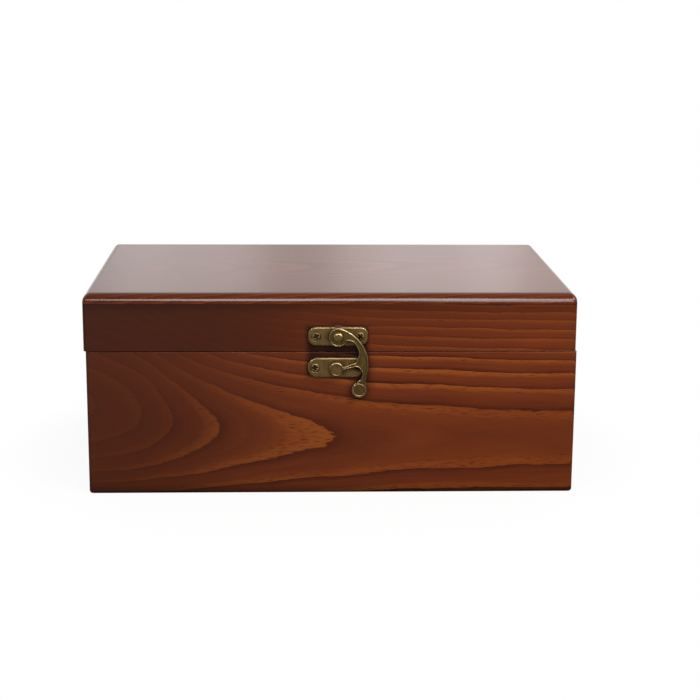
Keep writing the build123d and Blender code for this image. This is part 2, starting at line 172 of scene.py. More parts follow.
# %% Room
ROOM_LIGHT = 0.55
ROOM_DIM = 0.02
CEILING = 0.26
SWEEP_SIDES = (-0.6, 0.15)
SWEEP_TOP = (0.97, 0.80)
SWEEP_SPAN = (-0.5, 0.5)
SWEEP_UNEVEN = (
    (-0.5, 0.75), (-0.125, 0.74), (-0.09, 0.92), (-0.06, 0.87), (-0.035, 0.85), (-0.019, 0.77), (0.0, 0.62),
    (0.015, 0.62), (0.034, 0.78), (0.052, 0.90), (0.07, 0.97), (0.1, 0.97), (0.123, 1.06), (0.14, 0.96),
    (0.16, 0.77), (0.5, 0.77),
)
WHITE = "FFFFFF"

world = bpy.data.worlds.new("room")
scene.world = world
world.use_nodes = True
tree = world.node_tree
tree.nodes.clear()
look = add(tree, "ShaderNodeSeparateXYZ", {0: add(tree, "ShaderNodeTexCoord").outputs["Generated"]})
behind = add(
    tree,
    "ShaderNodeMapRange",
    {"Value": look.outputs["Y"], "From Min": SWEEP_SIDES[0], "From Max": SWEEP_SIDES[1]},
    interpolation_type="SMOOTHSTEP",
)
below_ceiling = add(
    tree,
    "ShaderNodeMapRange",
    {"Value": look.outputs["Z"], "From Min": SWEEP_TOP[0], "From Max": SWEEP_TOP[1], "To Min": CEILING},
    interpolation_type="SMOOTHSTEP",
)
sweep = add(
    tree, "ShaderNodeMath", {0: behind.outputs[0], 1: below_ceiling.outputs[0]}, operation="MULTIPLY"
)
sweep_level = drawn(tree, look.outputs["X"], SWEEP_UNEVEN, SWEEP_SPAN)
mirrored = add(tree, "ShaderNodeMix", {0: sweep.outputs[0], 2: ROOM_DIM, 3: sweep_level})
ray = add(tree, "ShaderNodeLightPath")
shiny = add(
    tree,
    "ShaderNodeMath",
    {0: ray.outputs["Is Glossy Ray"], 1: ray.outputs["Is Transmission Ray"]},
    operation="ADD",
)
unseen = add(tree, "ShaderNodeMix", {0: shiny.outputs[0], 2: ROOM_LIGHT, 3: mirrored.outputs[0]})
level = add(tree, "ShaderNodeMix", {0: ray.outputs["Is Camera Ray"], 2: unseen.outputs[0], 3: 1.0})
backdrop = add(tree, "ShaderNodeBackground", {"Color": linear(WHITE), "Strength": level.outputs[0]})
add(tree, "ShaderNodeOutputWorld", {"Surface": backdrop.outputs[0]})
print("the room is lit at", ROOM_LIGHT, "and the sweep mirrored at up to", max(v for x, v in SWEEP_UNEVEN))

# %% [markdown]
# The box stands on one large square, which lies a hair below it so that the two faces don't
# fight. Four corners are enough, because a flat floor gets its whole look from its material.

# %% Floor: the square
FLOOR_HALF = 3.0
FLOOR_GAP = 0.05 * MM

floor_mesh = bpy.data.meshes.new("floor")
floor_corners = []
for side_x, side_y in ((-1, -1), (1, -1), (1, 1), (-1, 1)):
    floor_corners.append((side_x * FLOOR_HALF, side_y * FLOOR_HALF, -FLOOR_GAP))
floor_mesh.from_pydata(floor_corners, [], [(0, 1, 2, 3)])
floor = bpy.data.objects.new("floor", floor_mesh)
scene.collection.objects.link(floor)
print("floor", 2 * FLOOR_HALF, "m square")

# %% [markdown]
# It is a plain matt sheet of paper. The camera, and a reflection behind the box, should see it as
# white with only the box's soft shadow on it. So near the box it is part lit surface and part
# glow, and further out it is the glow alone, which joins the white of the room. In a reflection in
# front of the box it is painted dim, as painted shade of a dim room, so the lacquered front stays
# free of a grey veil, but for a faint one on the left, where it is painted a little lighter.

# %% Floor: the paper
SHADOW_REACH = (0.12, 0.17)
PAPER = "F4F4F2"
PAPER_SHARE = 0.09
SWEEP_START = (0.05, 0.35)
DIM_SHEET = ((-0.16, 0.14), (0.06, 0.03))

floor_paper, tree, output = new_material("matt_paper_sheet")
spot = add(tree, "ShaderNodeTexCoord").outputs["Object"]
row = add(tree, "ShaderNodeSeparateXYZ", {0: spot})
distance = add(tree, "ShaderNodeVectorMath", {0: spot}, operation="LENGTH")
near = add(
    tree,
    "ShaderNodeMapRange",
    {
        "Value": distance.outputs["Value"],
        "From Min": SHADOW_REACH[1],
        "From Max": SHADOW_REACH[0],
        "To Max": PAPER_SHARE,
    },
    interpolation_type="SMOOTHSTEP",
)
glow = add(tree, "ShaderNodeEmission", {"Color": linear(WHITE), "Strength": 1.0})
paper = add(tree, "ShaderNodeBsdfDiffuse", {"Color": linear(PAPER)})
white_sheet = add(tree, "ShaderNodeMixShader", {0: near.outputs[0], 1: glow.outputs[0], 2: paper.outputs[0]})
# In reflections in front of the box the sheet is painted dim: painted shade, lighter on the left.
(left_x, left_level), (right_x, right_level) = DIM_SHEET
dim_level = {
    "Value": row.outputs["X"],
    "From Min": left_x,
    "From Max": right_x,
    "To Min": left_level,
    "To Max": right_level,
}
dim = add(tree, "ShaderNodeMapRange", dim_level).outputs[0]
dim_sheet = add(tree, "ShaderNodeBsdfDiffuse", {"Color": dim})
ray = add(tree, "ShaderNodeLightPath")
shiny = add(
    tree,
    "ShaderNodeMath",
    {0: ray.outputs["Is Glossy Ray"], 1: ray.outputs["Is Transmission Ray"]},
    operation="ADD",
)
sweep_span = {"Value": row.outputs["Y"], "From Min": SWEEP_START[0], "From Max": SWEEP_START[1]}
on_sweep = add(tree, "ShaderNodeMapRange", sweep_span)
mirrored = add(tree, "ShaderNodeMath", {0: shiny.outputs[0], 1: on_sweep.outputs[0]}, operation="MULTIPLY")
seen = add(
    tree, "ShaderNodeMath", {0: ray.outputs["Is Camera Ray"], 1: mirrored.outputs[0]}, operation="MAXIMUM"
)
sheet = add(
    tree, "ShaderNodeMixShader", {0: seen.outputs[0], 1: dim_sheet.outputs[0], 2: white_sheet.outputs[0]}
)
tree.links.new(sheet.outputs[0], output.inputs["Surface"])
floor_mesh.materials.append(floor_paper)
print("the paper has", len(tree.nodes), "nodes")

# %% [markdown]
# A long softbox above the camera draws the line on the lid's rounded edge. It leans, so the line
# sits a little higher on the right, where a dimmer strip that reaches down to the box's level
# widens it. The key light stands high on the right, so that the latch throws its shadow to the
# left and down, and a small lamp on the left finds the metal's rounded edges. Area lamps are
# used, because their size sets how soft the shadows are, and how bright a lamp looks when the
# lacquer mirrors it: each has a place, a size, a lean in degrees and a power in watts.

# %% Lamps
LAMPS = {
    "softbox_front": ((0.04, -1.05, 0.565), (0.60, 0.42), 33.0, 5.5),
    "strip_right": ((0.25, -1.10, 0.30), (0.24, 0.50), 0.0, 1.6),
    "key_right": ((0.70, -0.75, 0.85), (0.52, 0.52), 0.0, 6.4),
    "glint_left": ((-0.50, -0.80, 0.55), (0.12, 0.16), 0.0, 1.2),
}
LAMP_TARGET = Vector((0.0, -0.02, 0.05))

for lamp_name, (place, size, lean, watts) in LAMPS.items():
    lamp_data = bpy.data.lights.new(lamp_name, "AREA")
    lamp_data.shape = "RECTANGLE"
    lamp_data.size, lamp_data.size_y = size
    lamp_data.energy = watts
    lamp = bpy.data.objects.new(lamp_name, lamp_data)
    scene.collection.objects.link(lamp)
    turned = (LAMP_TARGET - Vector(place)).to_track_quat("-Z", "Y").to_matrix().to_4x4()
    leaning = Matrix.Rotation(math.radians(lean), 4, "Z")
    lamp.matrix_world = Matrix.Translation(place) @ turned @ leaning
print(len(LAMPS), "lamps")

# %% [markdown]
# Pine grows in rings round its heart, and a board shows where its faces cut them. So the wood is a
# solid pattern: the distance of each point from the heart line, counted in years. Where the heart
# line sinks away from the face, the rings close in arches, and where it runs level they become
# long lines. Two curves say how deep and how high the heart line lies along the board. Noise in
# two sizes makes the rings wander as a tree's do, and a finer one feathers their edges along the
# board, where the saw cut through the fibres.

# %% Wood: where a point lies in the tree
BOARD_SPAN = (-120.0, 120.0)
HEART_DEPTH = (0.0, 60.0)
HEART_HEIGHT = (-60.0, 140.0)
FIRST_RING = 24.5
RINGS_PER_MM = 0.17
RINGS_CROWD = 0.002
WANDER = (((60.0, 16.0, 16.0), 1.7), ((28.0, 6.0, 6.0), 0.7))
FEATHER = ((9.0, 1.1, 1.1), 0.26)


def grain_noise(tree, place, lengths, detail=2.0):
    """Noise from 0 to 1 whose blotches are `lengths` mm along, across and into the board."""
    stretched = add(tree, "ShaderNodeVectorMath", {0: place, 1: lengths}, operation="DIVIDE")
    noise = {"Vector": stretched.outputs[0], "Scale": 1.0, "Detail": detail}
    return add(tree, "ShaderNodeTexNoise", noise).outputs[0]


def board_place(tree, axes, face):
    """Millimetres along, across and into a board whose outer face is at `face` mm."""
    spot = add(tree, "ShaderNodeTexCoord").outputs["Object"]
    mm = add(tree, "ShaderNodeVectorMath", {0: spot, "Scale": 1 / MM}, operation="SCALE")
    row = add(tree, "ShaderNodeSeparateXYZ", {0: mm.outputs[0]})
    along, across, inward = (row.outputs[axis] for axis in axes)
    behind_face = add(tree, "ShaderNodeMath", {0: inward, 1: face}, operation="SUBTRACT")
    into = -1.0 if face > 0 else 1.0
    depth = add(tree, "ShaderNodeMath", {0: behind_face.outputs[0], 1: into}, operation="MULTIPLY")
    return along, across, depth.outputs[0]


def from_heart(tree, along, across, depth, depths, heights):
    """The distance in mm from the heart line, whose depth and height are drawn curves."""
    place = add(tree, "ShaderNodeCombineXYZ", {0: along, 1: across, 2: depth}).outputs[0]
    for lengths, reach in WANDER:
        wave = grain_noise(tree, place, lengths)
        shift = add(tree, "ShaderNodeMapRange", {"Value": wave, "To Min": -reach, "To Max": reach})
        across = add(tree, "ShaderNodeMath", {0: across, 1: shift.outputs[0]}, operation="ADD").outputs[0]
    heart_depth = drawn(tree, along, depths, BOARD_SPAN, HEART_DEPTH)
    heart_height = drawn(tree, along, heights, BOARD_SPAN, HEART_HEIGHT)
    deep = add(tree, "ShaderNodeMath", {0: heart_depth, 1: depth}, operation="ADD")
    high = add(tree, "ShaderNodeMath", {0: across, 1: heart_height}, operation="SUBTRACT")
    off = add(tree, "ShaderNodeCombineXYZ", {0: deep.outputs[0], 1: high.outputs[0]})
    radius = add(tree, "ShaderNodeVectorMath", {0: off.outputs[0]}, operation="LENGTH").outputs["Value"]
    fibre = grain_noise(tree, place, FEATHER[0])
    jag = add(tree, "ShaderNodeMapRange", {"Value": fibre, "To Min": -FEATHER[1], "To Max": FEATHER[1]})
    return add(tree, "ShaderNodeMath", {0: radius, 1: jag.outputs[0]}, operation="ADD").outputs[0]


print("one year is", round(1 / RINGS_PER_MM, 1), "mm wide near the heart")

# %% [markdown]
# Within a year the stain goes from a dark line through plain brown to a broad bright band, then
# drops sharply to the next dark line. Some years stained more strongly than others. Fine streaks
# run along the rings, and short dark flecks along the board: the streaks read the distance from
# the heart line, so they bend with the arches, and the flecks read the place on the board. The
# real flecks are a tenth of a millimetre wide and are drawn several times coarser, to show. They
# lie in the bright bands alone. How clearly the rings show is a curve along the board that slants:
# they fade sooner higher up. Lengths are in mm along, across and into the board, each with the
# reach of its effect on the tone.

# %% Wood: how the stain took
STAIN = ((0.0, "3A180D"), (0.22, "4C2010"), (0.5, "5F2A14"), (0.78, "713515"), (1.0, "7E4019"))
YEAR = (
    (0.0, 0.06), (0.06, 0.20), (0.20, 0.40), (0.45, 0.50), (0.66, 0.60), (0.80, 0.84), (0.95, 0.94),
    (1.0, 0.62),
)
YEAR_STRENGTH = (0.7, 1.1)
STREAKS = (((80.0, 1.1, 1.0), 0.13), ((26.0, 0.45, 1.0), 0.10))
BLOTCHES = ((70.0, 22.0, 22.0), 0.14)
FLECKS = ((5.0, 0.45, 0.45), 0.6)
FLECK_CUT = (0.58, 0.72)
FLECK_BAND = (0.55, 0.9)
FADE_SLANT = 0.8


def stain_tone(tree, along, across, depth, radius, contrast):
    """The stain's tone from 0, dark, to 1, bright, and the fine grain that is part of it."""
    out = add(tree, "ShaderNodeMath", {0: radius, 1: FIRST_RING}, operation="SUBTRACT").outputs[0]
    rate = add(tree, "ShaderNodeMath", {0: out, 1: RINGS_CROWD, 2: RINGS_PER_MM}, operation="MULTIPLY_ADD")
    years = add(tree, "ShaderNodeMath", {0: out, 1: rate.outputs[0], 2: 1.0}, operation="MULTIPLY_ADD")
    season = add(tree, "ShaderNodeMath", {0: years.outputs[0]}, operation="FRACT")
    year = add(tree, "ShaderNodeMath", {0: years.outputs[0]}, operation="FLOOR")
    band = drawn(tree, season.outputs[0], YEAR, (0.0, 1.0), (0.0, 1.0))
    chance = add(tree, "ShaderNodeTexWhiteNoise", {"W": year.outputs[0]}, noise_dimensions="1D")
    luck = {"Value": chance.outputs[0], "To Min": YEAR_STRENGTH[0], "To Max": YEAR_STRENGTH[1]}
    strength = add(tree, "ShaderNodeMapRange", luck)
    swing = add(tree, "ShaderNodeMath", {0: band, 1: 0.5}, operation="SUBTRACT")
    detail = add(tree, "ShaderNodeMath", {0: swing.outputs[0], 1: strength.outputs[0]}, operation="MULTIPLY")

    along_ring = add(tree, "ShaderNodeCombineXYZ", {0: along, 1: radius}).outputs[0]
    grain = 0.0
    for lengths, reach in STREAKS:
        streak = grain_noise(tree, along_ring, lengths)
        part = add(tree, "ShaderNodeMapRange", {"Value": streak, "To Min": -reach, "To Max": reach})
        grain = add(tree, "ShaderNodeMath", {0: grain, 1: part.outputs[0]}, operation="ADD").outputs[0]
    place = add(tree, "ShaderNodeCombineXYZ", {0: along, 1: across, 2: depth}).outputs[0]
    fleck = grain_noise(tree, place, FLECKS[0], 1.0)
    dark = {"Value": fleck, "From Min": FLECK_CUT[0], "From Max": FLECK_CUT[1], "To Max": -FLECKS[1]}
    flecks = add(tree, "ShaderNodeMapRange", dark)
    pale = {"Value": band, "From Min": FLECK_BAND[0], "From Max": FLECK_BAND[1]}
    bright = add(tree, "ShaderNodeMapRange", pale).outputs[0]
    in_band = add(tree, "ShaderNodeMath", {0: flecks.outputs[0], 1: bright}, operation="MULTIPLY")
    grain = add(tree, "ShaderNodeMath", {0: grain, 1: in_band.outputs[0]}, operation="ADD").outputs[0]

    both = add(tree, "ShaderNodeMath", {0: detail.outputs[0], 1: grain}, operation="ADD")
    slant = {0: across, 1: -FADE_SLANT, 2: along}
    upwards = add(tree, "ShaderNodeMath", slant, operation="MULTIPLY_ADD").outputs[0]
    clear = drawn(tree, upwards, contrast, BOARD_SPAN)
    uneven = grain_noise(tree, place, BLOTCHES[0])
    middle_tones = {"Value": uneven, "To Min": 0.5 - BLOTCHES[1], "To Max": 0.5 + BLOTCHES[1]}
    blotch = add(tree, "ShaderNodeMapRange", middle_tones)
    tone = {0: both.outputs[0], 1: clear, 2: blotch.outputs[0]}
    return add(tree, "ShaderNodeMath", tone, operation="MULTIPLY_ADD").outputs[0], grain


print(len(STAIN), "stain colours")

# %% [markdown]
# Corners get painted shade: their colour is darkened where Ambient Occlusion finds them. The wood
# round the latch and the hinges gets painted shade too, found by where a point lies on the board's
# outer face, because the plates lie too flat on the wood to shade it far. Each area has a middle
# and half its size in mm, and the painted shade fades out past its edge and just under the face.

# %% Wood: painted shade in corners and round the hardware
OCCLUSION_SAMPLES = 8
CORNER_REACH = 4.5 * MM
CORNER_OPEN = (0.5, 0.98)
CORNER_SHADE = 0.3
LATCH_AREA = ((1.9, 64.3), (12.4, 10.6))
HINGE_AREAS = (((-60.0, 64.4), (10.5, 9.0)), ((60.0, 64.4), (10.5, 9.0)))
PAINTED_SHADE_EDGE = (-1.0, 2.4)
PAINTED_SHADE_SINKS = 6.0
HARDWARE_PAINTED_SHADE = 0.25


def painted_shade_share(tree, along, across, depth, hardware):
    """How much of the colour is left under painted shade: 1 in the open, less in corners and,
    on the outer face, in and round each area of hardware."""
    reach_in = {"Distance": CORNER_REACH}
    corner = add(tree, "ShaderNodeAmbientOcclusion", reach_in, samples=OCCLUSION_SAMPLES)
    corner_painted_shade = {
        "Value": corner.outputs["AO"],
        "From Min": CORNER_OPEN[0],
        "From Max": CORNER_OPEN[1],
        "To Min": CORNER_SHADE,
    }
    share = add(tree, "ShaderNodeMapRange", corner_painted_shade).outputs[0]
    under_face = {0: depth, 1: PAINTED_SHADE_SINKS, 2: PAINTED_SHADE_EDGE[0]}
    for middle, half in hardware:
        edge = add(tree, "ShaderNodeMath", under_face, operation="MULTIPLY_ADD").outputs[0]
        for line, centre, reach in zip((along, across), middle, half):
            off = add(tree, "ShaderNodeMath", {0: line, 1: centre}, operation="SUBTRACT")
            span = add(tree, "ShaderNodeMath", {0: off.outputs[0]}, operation="ABSOLUTE")
            over = add(tree, "ShaderNodeMath", {0: span.outputs[0], 1: reach}, operation="SUBTRACT")
            edge = add(tree, "ShaderNodeMath", {0: edge, 1: over.outputs[0]}, operation="MAXIMUM").outputs[0]
        painted_shade = {
            "Value": edge,
            "From Min": PAINTED_SHADE_EDGE[0],
            "From Max": PAINTED_SHADE_EDGE[1],
            "To Min": HARDWARE_PAINTED_SHADE,
        }
        unshaded_share = add(tree, "ShaderNodeMapRange", painted_shade, interpolation_type="SMOOTHSTEP").outputs[0]
        share = add(tree, "ShaderNodeMath", {0: share, 1: unshaded_share}, operation="MULTIPLY").outputs[0]
    return share


print("grime reaches", PAINTED_SHADE_EDGE[1], "mm past the hardware")

# %% [markdown]
# The finish is a red-brown stain under two coats of clear lacquer, rubbed down to a soft gloss.
# The lacquer fills the pores, so the surface is nearly flat: only a trace of the fibres stands up,
# and what it mirrors has soft edges. One Principled shader is both layers, with the stain as its
# base colour and the lacquer's IOR. The base colour is scaled by a curve along and a curve across
# each board, and darkened by painted shade in corners and round the hardware. Lacquer is a little
# duller over dark grain.

# %% Wood: a board's material
LACQUER_ROUGHNESS = (0.16, 0.11)
LACQUER_IOR = 1.5
GRAIN_REACH = 0.3
FIBRE_RELIEF = 0.05 * MM
RELIEF_SHARE = 0.3
EVEN = tuple((end, 1.0) for end in BOARD_SPAN)


def pine(name, axes, face, depths, heights, shade=EVEN, contrast=EVEN, edge=EVEN, hardware=()):
    """Stained pine. `axes` names the axes along, across and into the board, whose outer face
    is at `face` mm. `depths` and `heights` draw the heart line, `shade` how much lighter or
    darker the colour is along the board and `edge` across it, `contrast` how clearly its
    rings show, and `hardware` the areas round which shade is painted."""
    material, tree, output = new_material(name)
    along, across, depth = board_place(tree, axes, face)
    radius = from_heart(tree, along, across, depth, depths, heights)
    tone, grain = stain_tone(tree, along, across, depth, radius, contrast)

    stain = add(tree, "ShaderNodeValToRGB", {0: tone})
    while len(stain.color_ramp.elements) < len(STAIN):
        stain.color_ramp.elements.new(0.5)
    for element, (position, colour) in zip(stain.color_ramp.elements, STAIN):
        element.position = position
        element.color = linear(colour)
    # The colour is darkened by painted shade in corners and round the hardware.
    strength = painted_shade_share(tree, along, across, depth, hardware)
    for line, curve in ((along, shade), (across, edge)):
        took = drawn(tree, line, curve, BOARD_SPAN)
        strength = add(tree, "ShaderNodeMath", {0: strength, 1: took}, operation="MULTIPLY").outputs[0]
    grey = add(tree, "ShaderNodeCombineXYZ", {0: strength, 1: strength, 2: strength}).outputs[0]
    shaded = {0: 1.0, 6: stain.outputs[0], 7: grey}
    colour = add(tree, "ShaderNodeMix", shaded, data_type="RGBA", blend_type="MULTIPLY")
    sheen = add(
        tree,
        "ShaderNodeMapRange",
        {
            "Value": grain,
            "From Min": -GRAIN_REACH,
            "From Max": GRAIN_REACH,
            "To Min": LACQUER_ROUGHNESS[0],
            "To Max": LACQUER_ROUGHNESS[1],
        },
    )
    relief = {"Height": grain, "Strength": RELIEF_SHARE, "Distance": FIBRE_RELIEF}
    bump = add(tree, "ShaderNodeBump", relief)
    lacquered = add(
        tree,
        "ShaderNodeBsdfPrincipled",
        {
            "Base Color": colour.outputs[2],
            "Roughness": sheen.outputs[0],
            "IOR": LACQUER_IOR,
            "Normal": bump.outputs[0],
        },
    )
    tree.links.new(lacquered.outputs[0], output.inputs["Surface"])
    return material


print("lacquer of IOR", LACQUER_IOR, "and roughness", LACQUER_ROUGHNESS[0], "to", LACQUER_ROUGHNESS[1])

# %% [markdown]
# Case front and lid front were sawn from one board, so their figure runs on across the seam. Its
# arches open to the left, and its heart line sinks to 42 mm behind the face towards the right. The
# colour is darker on the left, and most of all on the lid's left third, where the rings nearly fade
# out. The lid is also darker towards its top edge, and the case along its bottom. Where a board's
# outer face lies is read off its CAD mesh.

# %% Wood: the front board
FRONT_DEPTHS = (
    (-120, 12), (-107, 17), (-94, 21), (-83.5, 24.5), (-70, 30), (-50, 34.9), (-22, 38.2), (-1, 39.4),
    (20, 40.6), (60, 41.5), (120, 41.9),
)
FRONT_HEIGHTS = ((-120, 42), (-82, 37), (-67.6, 33), (-48, 29.7), (0, 26), (40, 25.5), (120, 25))


def outer_face(node, axis):
    """Where a board's outer face lies in mm, which is its face furthest from the middle."""
    corners = frame["nodes"][node].data.vertices
    return max((corner.co["XYZ".index(axis)] / MM for corner in corners), key=abs)


case_front_pine = pine(
    "stained_pine_case_front",
    "XZY",
    outer_face("case_front", "Y"),
    FRONT_DEPTHS,
    FRONT_HEIGHTS,
    shade=((-120, 0.52), (-70, 0.60), (-30, 0.84), (10, 0.98), (60, 1.04), (120, 1.0)),
    contrast=((-120, 0.22), (-100, 0.36), (-62, 0.86), (-25, 1.2), (30, 1.08), (120, 0.95)),
    edge=((-120, 0.78), (0, 0.78), (6, 0.94), (12, 1.0), (120, 1.0)),
    hardware=(LATCH_AREA,),
)
lid_front_pine = pine(
    "stained_pine_lid_front",
    "XZY",
    outer_face("lid_front", "Y"),
    FRONT_DEPTHS,
    FRONT_HEIGHTS,
    shade=((-120, 0.36), (-75, 0.42), (-35, 0.52), (0, 0.78), (40, 1.0), (120, 1.04)),
    edge=((-120, 1.0), (64, 1.04), (76, 1.04), (82, 0.94), (85.5, 0.66), (120, 0.6)),
    contrast=((-120, 0.1), (-85, 0.13), (-55, 0.35), (-15, 0.62), (60, 0.68), (120, 0.68)),
    hardware=(LATCH_AREA,),
)
print("the front board's face lies at", round(outer_face("case_front", "Y"), 2), "mm")

# %% [markdown]
# The other boards came from other places in the log, so each has a heart line of its own. It
# rises towards one end in the back and in the top, which gives them a row of arches like the
# front's. In the ends it runs more nearly level, and most of their rings are long lines. The tray
# is of the same pine, cut thinner, and one pattern goes through all its long boards.

# %% Wood: the other boards
back_pine = pine(
    "stained_pine_back_board",
    "XZY",
    outer_face("case_back", "Y"),
    ((-120, 41), (-40, 39), (20, 36), (70, 28), (120, 14)),
    ((-120, 58), (0, 54), (120, 44)),
    shade=((-120, 0.92), (0, 0.84), (120, 0.78)),
    hardware=HINGE_AREAS,
)
left_pine = pine(
    "stained_pine_left_end",
    "YZX",
    outer_face("case_left", "X"),
    ((-120, 30), (0, 33), (120, 39)),
    ((-120, 8), (0, 14), (120, 12)),
    shade=((-120, 0.8), (120, 0.9)),
)
right_pine = pine(
    "stained_pine_right_end",
    "YZX",
    outer_face("case_right", "X"),
    ((-120, 42), (0, 38), (120, 30)),
    ((-120, 60), (0, 52), (120, 50)),
    shade=((-120, 0.95), (120, 0.85)),
)
# The top panel's colour is painted lighter than the other boards', most of all towards the right: painted
# light, falling from above. Along its front edge it is darker again. The case bottom shares this material,
# so it is painted lighter too.
top_pine = pine(
    "stained_pine_top_panel",
    "XYZ",
    outer_face("lid_top_panel", "Z"),
    ((-120, 32), (-40, 44), (30, 51), (120, 57)),
    ((-120, -10), (0, 0), (120, 8)),
    shade=((-120, 0.95), (-60, 1.2), (0, 1.3), (120, 1.4)),
    contrast=((-120, 0.62), (120, 0.62)),
    edge=((-120, 0.64), (-67, 0.64), (-62, 0.74), (-52, 1.0), (120, 1.0)),
)
tray_pine = pine(
    "stained_pine_tray",
    "XZY",
    0.0,
    ((-120, 40), (0, 42), (120, 40)),
    ((-120, 10), (0, 12), (120, 8)),
)
cuts = (case_front_pine, lid_front_pine, back_pine, left_pine, right_pine, top_pine, tray_pine)
print(len(cuts), "cuts of pine")

# %% [markdown]
# The latch and the hinges are of stamped steel and cast zinc in an antique bronze finish: plated,
# darkened chemically, then relieved on a wheel, which leaves hollows dark and edges bright. The
# pale colour on the edges and on the hook's raised rim is partly that rubbing and partly painted
# highlight, where the real metal catches the light. The stampings all lie flat against the box, so
# their edges are the faces that turn away from the front and the back. Their normal is read in the
# piece's own space: in the room's, the lid's plates would turn bright all over as the lid opens. The
# hook's raised rim is found by how far it stands out. The rubbing comes in specks. The wheel's real
# marks are a few hundredths of a millimetre wide and are drawn ten times coarser, to show.

# %% Antique bronze: rubbed edges and painted highlight
EDGE_TURN = (0.96, 0.75)
RIM_SHARE = 0.7
SPECK_CUT = (0.3, 0.6)
SPECK_WEAR = (0.45, 0.95)


def wear_and_highlight_share(tree, mm, speck, open_share, rim):
    """How much pale colour goes on, as rubbed metal and painted highlight: on edges and on a
    raised rim, but not in hollows. `rim` gives the depths in mm, counted to the front, where the
    rim begins and where it is fully pale."""
    normal = add(tree, "ShaderNodeTexCoord").outputs["Normal"]
    facing = add(tree, "ShaderNodeSeparateXYZ", {0: normal}).outputs["Y"]
    fronting = add(tree, "ShaderNodeMath", {0: facing}, operation="ABSOLUTE").outputs[0]
    aside = {"Value": fronting, "From Min": EDGE_TURN[0], "From Max": EDGE_TURN[1]}
    edge = add(tree, "ShaderNodeMapRange", aside).outputs[0]
    if rim:
        depth = add(tree, "ShaderNodeSeparateXYZ", {0: mm}).outputs["Y"]
        proud = {"Value": depth, "From Min": -rim[0], "From Max": -rim[1], "To Max": RIM_SHARE}
        raised = add(tree, "ShaderNodeMapRange", proud).outputs[0]
        edge = add(tree, "ShaderNodeMath", {0: edge, 1: raised}, operation="MAXIMUM").outputs[0]
    rubbed = add(tree, "ShaderNodeMath", {0: edge, 1: open_share}, operation="MULTIPLY").outputs[0]
    specks = {
        "Value": speck,
        "From Min": SPECK_CUT[0],
        "From Max": SPECK_CUT[1],
        "To Min": SPECK_WEAR[0],
        "To Max": SPECK_WEAR[1],
    }
    patchy = add(tree, "ShaderNodeMapRange", specks).outputs[0]
    return add(tree, "ShaderNodeMath", {0: rubbed, 1: patchy}, operation="MULTIPLY").outputs[0]


print("the wheel leaves", SPECK_WEAR[0], "to", SPECK_WEAR[1], "of an edge bare")

# %% [markdown]
# The colour goes from dark patina through clouded bronze to the pale colour of rubbed metal and
# painted highlight. Ambient Occlusion puts the patina in the hollows, and with it painted shade
# round the parts that stand out and in the screws' crosses. The wheel also polishes what it rubs,
# so the rubbed parts are less rough. Plating and polish take the knife edge off every corner, which
# draws thin bright lines on the real latch: a Bevel node turns the normal there as a rounding of
# 0.3 mm would, without a single new face. As a metal, the finish keeps the shader's own IOR. The
# rivet, the screws and the pins are the same finish, more or less rubbed.

# %% Antique bronze: the metal
HOLLOW_REACH = 3.0 * MM
HOLLOW_OPEN = (0.42, 0.95)
PATINA_CLOUD = 2.5
PATINA_SPECK = 0.4
CLOUD_CUT = (0.38, 0.66)
CLOUD_SHARE = 0.5
CLOUD_ROUGHNESS = (-0.06, 0.12)
POLISH = -0.16
EDGE_ROUND = 0.3 * MM
EDGE_SAMPLES = 6
DENT = 0.02 * MM
DENT_SHARE = 0.3
HOOK_RIM = (70.36, 70.56)


